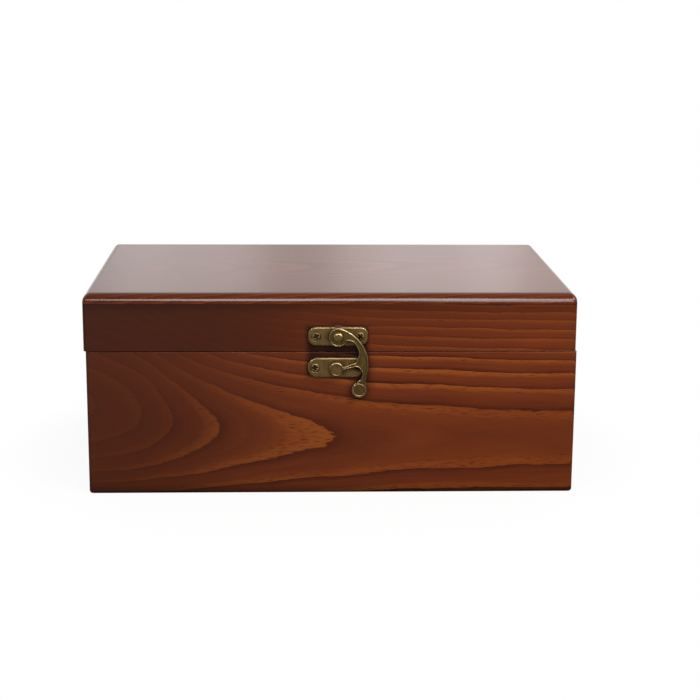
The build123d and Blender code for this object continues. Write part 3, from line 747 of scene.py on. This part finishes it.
def antique_bronze(name, body, patina, wear_and_highlight_colour="F3D9A4", roughness=0.32, rim=None):
    """Plated, darkened and relieved bronze, with its three colours and its mean roughness."""
    material, tree, output = new_material(name)
    spot = add(tree, "ShaderNodeTexCoord").outputs["Object"]
    mm = add(tree, "ShaderNodeVectorMath", {0: spot, "Scale": 1 / MM}, operation="SCALE").outputs[0]
    cloud = grain_noise(tree, mm, (PATINA_CLOUD,) * 3, 4.0)
    speck = grain_noise(tree, mm, (PATINA_SPECK,) * 3)
    clouds = {"Value": cloud, "From Min": CLOUD_CUT[0], "From Max": CLOUD_CUT[1], "To Max": CLOUD_SHARE}
    mottle = add(tree, "ShaderNodeMapRange", clouds).outputs[0]
    plated = {0: mottle, 6: linear(body), 7: linear(patina)}
    base = add(tree, "ShaderNodeMix", plated, data_type="RGBA").outputs[2]

    # Ambient Occlusion darkens hollows to patina, and paints shade round the parts that stand out.
    reach_in = {"Distance": HOLLOW_REACH}
    hollow = add(tree, "ShaderNodeAmbientOcclusion", reach_in, samples=OCCLUSION_SAMPLES)
    out = {"Value": hollow.outputs["AO"], "From Min": HOLLOW_OPEN[0], "From Max": HOLLOW_OPEN[1]}
    open_share = add(tree, "ShaderNodeMapRange", out).outputs[0]
    dark = {0: open_share, 6: linear(patina), 7: base}
    darkened = add(tree, "ShaderNodeMix", dark, data_type="RGBA").outputs[2]
    # Pale colour on edges and on the rim: partly rubbed metal, partly painted highlight.
    wear_and_highlight = wear_and_highlight_share(tree, mm, speck, open_share, rim)
    bare = {0: wear_and_highlight, 6: darkened, 7: linear(wear_and_highlight_colour)}
    colour = add(tree, "ShaderNodeMix", bare, data_type="RGBA")

    duller, rougher = (roughness + change for change in CLOUD_ROUGHNESS)
    matt = add(tree, "ShaderNodeMapRange", {"Value": cloud, "To Min": duller, "To Max": rougher})
    polish = {0: wear_and_highlight, 1: POLISH, 2: matt.outputs[0]}
    grit = add(tree, "ShaderNodeMath", polish, operation="MULTIPLY_ADD")
    eased = add(tree, "ShaderNodeBevel", {"Radius": EDGE_ROUND}, samples=EDGE_SAMPLES).outputs[0]
    dents = {"Height": speck, "Strength": DENT_SHARE, "Distance": DENT, "Normal": eased}
    bump = add(tree, "ShaderNodeBump", dents)
    metal = add(
        tree,
        "ShaderNodeBsdfPrincipled",
        {
            "Base Color": colour.outputs[2],
            "Metallic": 1.0,
            "Roughness": grit.outputs[0],
            "Normal": bump.outputs[0],
        },
    )
    tree.links.new(metal.outputs[0], output.inputs["Surface"])
    return material


bronze = antique_bronze("antique_bronze_plating", "A88655", "382917")
hook_bronze = antique_bronze("antique_bronze_cast_hook", "967844", "2C200D", wear_and_highlight_colour="F0D29C", rim=HOOK_RIM)
rivet_bronze = antique_bronze("antique_bronze_rivet", "C29D62", "4A381E", roughness=0.26)
screw_bronze = antique_bronze("antique_bronze_screws", "A08558", "1A120A", roughness=0.36)
pin_steel = antique_bronze("bronze_tinted_wire", "8A7650", "3A3226", wear_and_highlight_colour="C8B890")
print("five bronze finishes, rounded at the edges by", EDGE_ROUND / MM, "mm")

# %% [markdown]
# The CAD meshes arrive as loose triangles, which shade flat. Each visible piece is therefore a
# merged copy: shared corners are joined, flat faces become one polygon again, and faces within 32
# degrees of each other shade as one curve. The copy then takes the CAD piece's place on its body.

# %% Merge a CAD mesh and stand in for its piece
SMOOTH_BELOW = math.radians(32)
FLAT_WITHIN = math.radians(0.5)
MERGE_WITHIN = 0.002 * MM


def smoothed(mesh):
    """Join the mesh's shared corners, and shade it smooth between its sharp edges."""
    work = bmesh.new()
    work.from_mesh(mesh)
    bmesh.ops.remove_doubles(work, verts=work.verts, dist=MERGE_WITHIN)
    bmesh.ops.dissolve_limit(work, angle_limit=FLAT_WITHIN, verts=work.verts, edges=work.edges)
    for face in work.faces:
        face.smooth = True
    for line in work.edges:
        line.smooth = line.is_manifold and line.calc_face_angle() < SMOOTH_BELOW
    work.to_mesh(mesh)
    work.free()


def stand_in(mesh, node):
    """An object with this mesh, which rides with a CAD node's body in that node's place."""
    piece = bpy.data.objects.new(f"{node}_finished", mesh)
    scene.collection.objects.link(piece)
    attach(piece, frame["nodes"][node]["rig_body"])
    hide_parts(node)
    return piece


print("edges sharper than", round(math.degrees(SMOOTH_BELOW)), "degrees stay edges")

# %% [markdown]
# No sawn or stamped edge is a knife edge. A hair's breadth of bevel is what makes a glue line or
# the edge of a plate visible on the real thing, and weighted normals keep the large faces beside
# it flat. Each piece has its finish, a slot name, and how far its edges are eased in mm. The hook
# and the latch plates are rounded in CAD already.

# %% Dress the CAD pieces
AS_MADE, SAWN, STAMPED, PLANED, SANDED = 0.0, 0.12, 0.15, 0.4, 0.5
BEVEL_STEPS = 2


def dress(node, material, slot, edge):
    """A merged, smooth copy of a CAD node with its finish and its edges eased by `edge` mm."""
    mesh = frame["nodes"][node].data.copy()
    mesh.materials.clear()
    mesh.materials.append(material)
    smoothed(mesh)
    piece = stand_in(mesh, node)
    if edge:
        bevel = piece.modifiers.new("eased_edges", "BEVEL")
        bevel.width = edge * MM
        bevel.segments = BEVEL_STEPS
        bevel.limit_method = "ANGLE"
        bevel.angle_limit = SMOOTH_BELOW
    weighted = piece.modifiers.new("flat_faces_stay_flat", "WEIGHTED_NORMAL")
    weighted.keep_sharp = True


FINISHES = {
    "case_front": (case_front_pine, "stained_pine", SAWN),
    "lid_front": (lid_front_pine, "stained_pine", SAWN),
    "case_back": (back_pine, "stained_pine", SAWN),
    "lid_back": (back_pine, "stained_pine", SAWN),
    "case_left": (left_pine, "stained_pine", SAWN),
    "lid_left": (left_pine, "stained_pine", SAWN),
    "case_right": (right_pine, "stained_pine", SAWN),
    "lid_right": (right_pine, "stained_pine", SAWN),
    "lid_top_panel": (top_pine, "stained_pine", SAWN),
    "case_bottom": (top_pine, "stained_plywood", SAWN),
    "tray_ledge_left": (left_pine, "stained_pine", PLANED),
    "tray_ledge_right": (right_pine, "stained_pine", PLANED),
    "tray_bottom": (tray_pine, "stained_plywood", AS_MADE),
    "tray_front": (tray_pine, "tray_pine", SANDED),
    "tray_back": (tray_pine, "tray_pine", SANDED),
    "tray_left": (left_pine, "tray_pine", SANDED),
    "tray_right": (right_pine, "tray_pine", SANDED),
    "tray_long_divider": (tray_pine, "tray_pine", SANDED),
    "tray_spool_divider_1": (left_pine, "tray_pine", SANDED),
    "tray_spool_divider_2": (right_pine, "tray_pine", SANDED),
    "latch_plate": (bronze, "antique_bronze", AS_MADE),
    "keeper_plate": (bronze, "antique_bronze", AS_MADE),
    "keeper_post": (bronze, "antique_bronze", AS_MADE),
    "latch_rivet": (rivet_bronze, "antique_bronze", AS_MADE),
    "latch_hook": (hook_bronze, "antique_bronze", AS_MADE),
    "hinge_left_case_leaf": (bronze, "antique_bronze", STAMPED),
    "hinge_right_case_leaf": (bronze, "antique_bronze", STAMPED),
    "hinge_left_lid_leaf": (bronze, "antique_bronze", STAMPED),
    "hinge_right_lid_leaf": (bronze, "antique_bronze", STAMPED),
    "hinge_left_pin": (pin_steel, "pin_steel", AS_MADE),
    "hinge_right_pin": (pin_steel, "pin_steel", AS_MADE),
}
for node_name, finish in FINISHES.items():
    dress(node_name, *finish)
print(len(FINISHES), "pieces dressed")

# %% [markdown]
# Twelve small countersunk screws hold the hardware. All are one screw, so Geometry Nodes make it
# once. A real one is turned on a lathe, and so is this: the rings of a plain cylinder are moved
# to the profile's heights and radii, up from the point and over the low crown of the head. Sizes
# are in mm.

# %% Screws: the lathe
SCREW = {
    "Head radius": 1.9,
    "Head land": 0.15,
    "Head depth": 1.15,
    "Head crown": 0.10,
    "Shank radius": 0.9,
    "Length": 7.5,
    "Tip": 1.8,
    "Cross span": 2.6,
    "Cross width": 0.75,
    "Cross depth": 0.7,
}
SCREW_SIDES = 32
POINT_RADIUS = 0.02 * MM
CROWN = ((1.0, 0.0), (0.93, 0.45), (0.78, 0.8), (0.5, 1.0))


def screw_profile(tree, size):
    """The (radius, height) pairs of the screw's rings, from its point up to the crown's top."""
    head, shank = size["Head radius"], size["Shank radius"]
    down = {}
    for name in ("Head land", "Head depth", "Length"):
        down[name] = add(tree, "ShaderNodeMath", {0: 0.0, 1: size[name]}, operation="SUBTRACT").outputs[0]
    tip = add(tree, "ShaderNodeMath", {0: down["Length"], 1: size["Tip"]}, operation="ADD").outputs[0]
    rings = [(POINT_RADIUS, down["Length"]), (shank, tip)]
    rings += [(shank, down["Head depth"]), (head, down["Head land"])]
    crown = size["Head crown"]
    for share_out, share_up in CROWN:
        out = add(tree, "ShaderNodeMath", {0: head, 1: share_out}, operation="MULTIPLY").outputs[0]
        up = add(tree, "ShaderNodeMath", {0: crown, 1: share_up}, operation="MULTIPLY").outputs[0]
        rings.append((out, up))
    return rings


def lathe(tree, rings):
    """A closed round solid whose rings have these radii and heights."""
    steps = len(rings) - 1
    blank = {"Vertices": SCREW_SIDES, "Side Segments": steps, "Radius": 1.0, "Depth": 1.0}
    cylinder = add(tree, "GeometryNodeMeshCylinder", blank)
    position = add(tree, "GeometryNodeInputPosition").outputs[0]
    height = add(tree, "ShaderNodeSeparateXYZ", {0: position}).outputs["Z"]
    ring = add(tree, "ShaderNodeMath", {0: height, 1: steps, 2: steps / 2}, operation="MULTIPLY_ADD")
    number = add(tree, "FunctionNodeFloatToInt", {0: ring.outputs[0]}, rounding_mode="ROUND")
    pick = add(tree, "GeometryNodeIndexSwitch", {"Index": number.outputs[0]}, data_type="VECTOR")
    while len(pick.index_switch_items) < len(rings):
        pick.index_switch_items.new()
    for i, (radius, level) in enumerate(rings):
        corner = add(tree, "ShaderNodeCombineXYZ", {0: radius, 1: radius, 2: level})
        tree.links.new(corner.outputs[0], pick.inputs[i + 1])
    flat = add(tree, "ShaderNodeVectorMath", {0: position, 1: (1.0, 1.0, 0.0)}, operation="MULTIPLY")
    unit_ring = {0: flat.outputs[0], 1: (0.0, 0.0, 1.0)}
    upright = add(tree, "ShaderNodeVectorMath", unit_ring, operation="ADD")
    stretch = {0: upright.outputs[0], 1: pick.outputs[0]}
    moved = add(tree, "ShaderNodeVectorMath", stretch, operation="MULTIPLY")
    turned = {"Geometry": cylinder.outputs["Mesh"], "Position": moved.outputs[0]}
    return add(tree, "GeometryNodeSetPosition", turned).outputs[0]


print("a screw has", SCREW_SIDES, "sides and a head", 2 * SCREW["Head radius"], "mm across")

# %% [markdown]
# The head is punched with a cross, which a Boolean takes out with two bars. Instance on Points
# then puts one screw in each hole, facing outwards and turned as the screwdriver left it, and the
# instances are made real, because an export keeps real meshes alone.

# %% Screws: the cross and the holes
def screw_tree(material):
    """A tree that puts a cross-head screw on every point, facing the input Outwards."""
    tree = bpy.data.node_groups.new("cross_head_screws", "GeometryNodeTree")
    panel = tree.interface
    panel.new_socket("Points", in_out="INPUT", socket_type="NodeSocketGeometry")
    panel.new_socket("Outwards", in_out="INPUT", socket_type="NodeSocketVector")
    for name in SCREW:
        panel.new_socket(name, in_out="INPUT", socket_type="NodeSocketFloat")
    panel.new_socket("Screws", in_out="OUTPUT", socket_type="NodeSocketGeometry")
    size = add(tree, "NodeGroupInput").outputs

    punched = add(tree, "GeometryNodeMeshBoolean", operation="DIFFERENCE", solver="EXACT")
    tree.links.new(lathe(tree, screw_profile(tree, size)), punched.inputs[0])
    span, width = size["Cross span"], size["Cross width"]
    tall = add(tree, "ShaderNodeMath", {0: size["Cross depth"], 1: 2.0}, operation="MULTIPLY").outputs[0]
    for size_x, size_y in ((span, width), (width, span)):
        arm_size = add(tree, "ShaderNodeCombineXYZ", {0: size_x, 1: size_y, 2: tall}).outputs[0]
        arm = add(tree, "GeometryNodeMeshCube", {"Size": arm_size})
        tree.links.new(arm.outputs["Mesh"], punched.inputs[1])

    upright = add(tree, "FunctionNodeAlignRotationToVector", {"Vector": size["Outwards"]}, axis="Z")
    turn = add(tree, "GeometryNodeInputNamedAttribute", {"Name": "turn"}, data_type="FLOAT")
    driven = add(
        tree,
        "FunctionNodeAxisAngleToRotation",
        {"Axis": (0.0, 0.0, 1.0), "Angle": turn.outputs["Attribute"]},
    )
    both = {0: upright.outputs[0], 1: driven.outputs[0]}
    facing = add(tree, "FunctionNodeRotateRotation", both, rotation_space="LOCAL")
    placed = add(
        tree,
        "GeometryNodeInstanceOnPoints",
        {"Points": size["Points"], "Instance": punched.outputs["Mesh"], "Rotation": facing.outputs[0]},
    )
    real = add(tree, "GeometryNodeRealizeInstances", {0: placed.outputs[0]})
    finished = add(tree, "GeometryNodeSetMaterial", {0: real.outputs[0], "Material": material})
    add(tree, "NodeGroupOutput", {0: finished.outputs[0]})
    return tree


bronze_screws = screw_tree(screw_bronze)
print("the screw tree has", len(bronze_screws.nodes), "nodes")

# %% [markdown]
# The holes are found from the CAD screws: each is one island of the node's mesh, and the middle of
# its outer end is where the new head goes. A row names the side that its screws face, -1 for the
# front and 1 for the back, and how far each was turned in degrees. The modifier's inputs are set
# by each socket's identifier, then the evaluated result becomes a plain mesh and the modifier
# goes.

# %% Screws: put them in
SCREW_ROWS = {
    "latch_plate_screws": (-1, (24, 51)),
    "keeper_screws": (-1, (8, 33)),
    "hinge_case_screws": (1, (15, 62, 80, 33)),
    "hinge_lid_screws": (1, (40, 5, 27, 71)),
}


def head_places(node, side):
    """The middle of each CAD screw's outer end, from left to right."""
    work = bmesh.new()
    work.from_mesh(frame["nodes"][node].data)
    bmesh.ops.remove_doubles(work, verts=work.verts, dist=MERGE_WITHIN)
    places = []
    left = set(work.verts)
    while left:
        island = [left.pop()]
        for corner in island:
            for line in corner.link_edges:
                other = line.other_vert(corner)
                if other in left:
                    left.discard(other)
                    island.append(other)
        outer = max(side * corner.co.y for corner in island)
        rim = [corner.co for corner in island if side * corner.co.y > outer - MERGE_WITHIN]
        low = Vector(min(corner[i] for corner in rim) for i in range(3))
        high = Vector(max(corner[i] for corner in rim) for i in range(3))
        places.append((low + high) / 2)
    work.free()
    return sorted(places, key=lambda place: place.x)


def drive_screws(node, side, turns):
    """The screws of one CAD node as a plain mesh, made by the node tree."""
    places = head_places(node, side)
    points = bpy.data.meshes.new(f"{node}_points")
    points.from_pydata(places, [], [])
    angles = [math.radians(turn) for turn in turns]
    points.attributes.new("turn", "FLOAT", "POINT").data.foreach_set("value", angles)
    maker = bpy.data.objects.new(f"{node}_points", points)
    scene.collection.objects.link(maker)
    values = {name: value * MM for name, value in SCREW.items()}
    values["Outwards"] = (0.0, float(side), 0.0)
    modifier = maker.modifiers.new("screws", "NODES")
    modifier.node_group = bronze_screws
    for socket in bronze_screws.interface.items_tree:
        if socket.in_out == "INPUT" and socket.name in values:
            modifier[socket.identifier] = values[socket.name]
    made = maker.evaluated_get(bpy.context.evaluated_depsgraph_get())
    mesh = bpy.data.meshes.new_from_object(made)
    maker.modifiers.remove(modifier)
    bpy.data.objects.remove(maker)
    smoothed(mesh)
    stand_in(mesh, node)
    return len(places)


driven_count = 0
for node_name, (side, turns) in SCREW_ROWS.items():
    driven_count += drive_screws(node_name, side, turns)
print(driven_count, "screws driven")
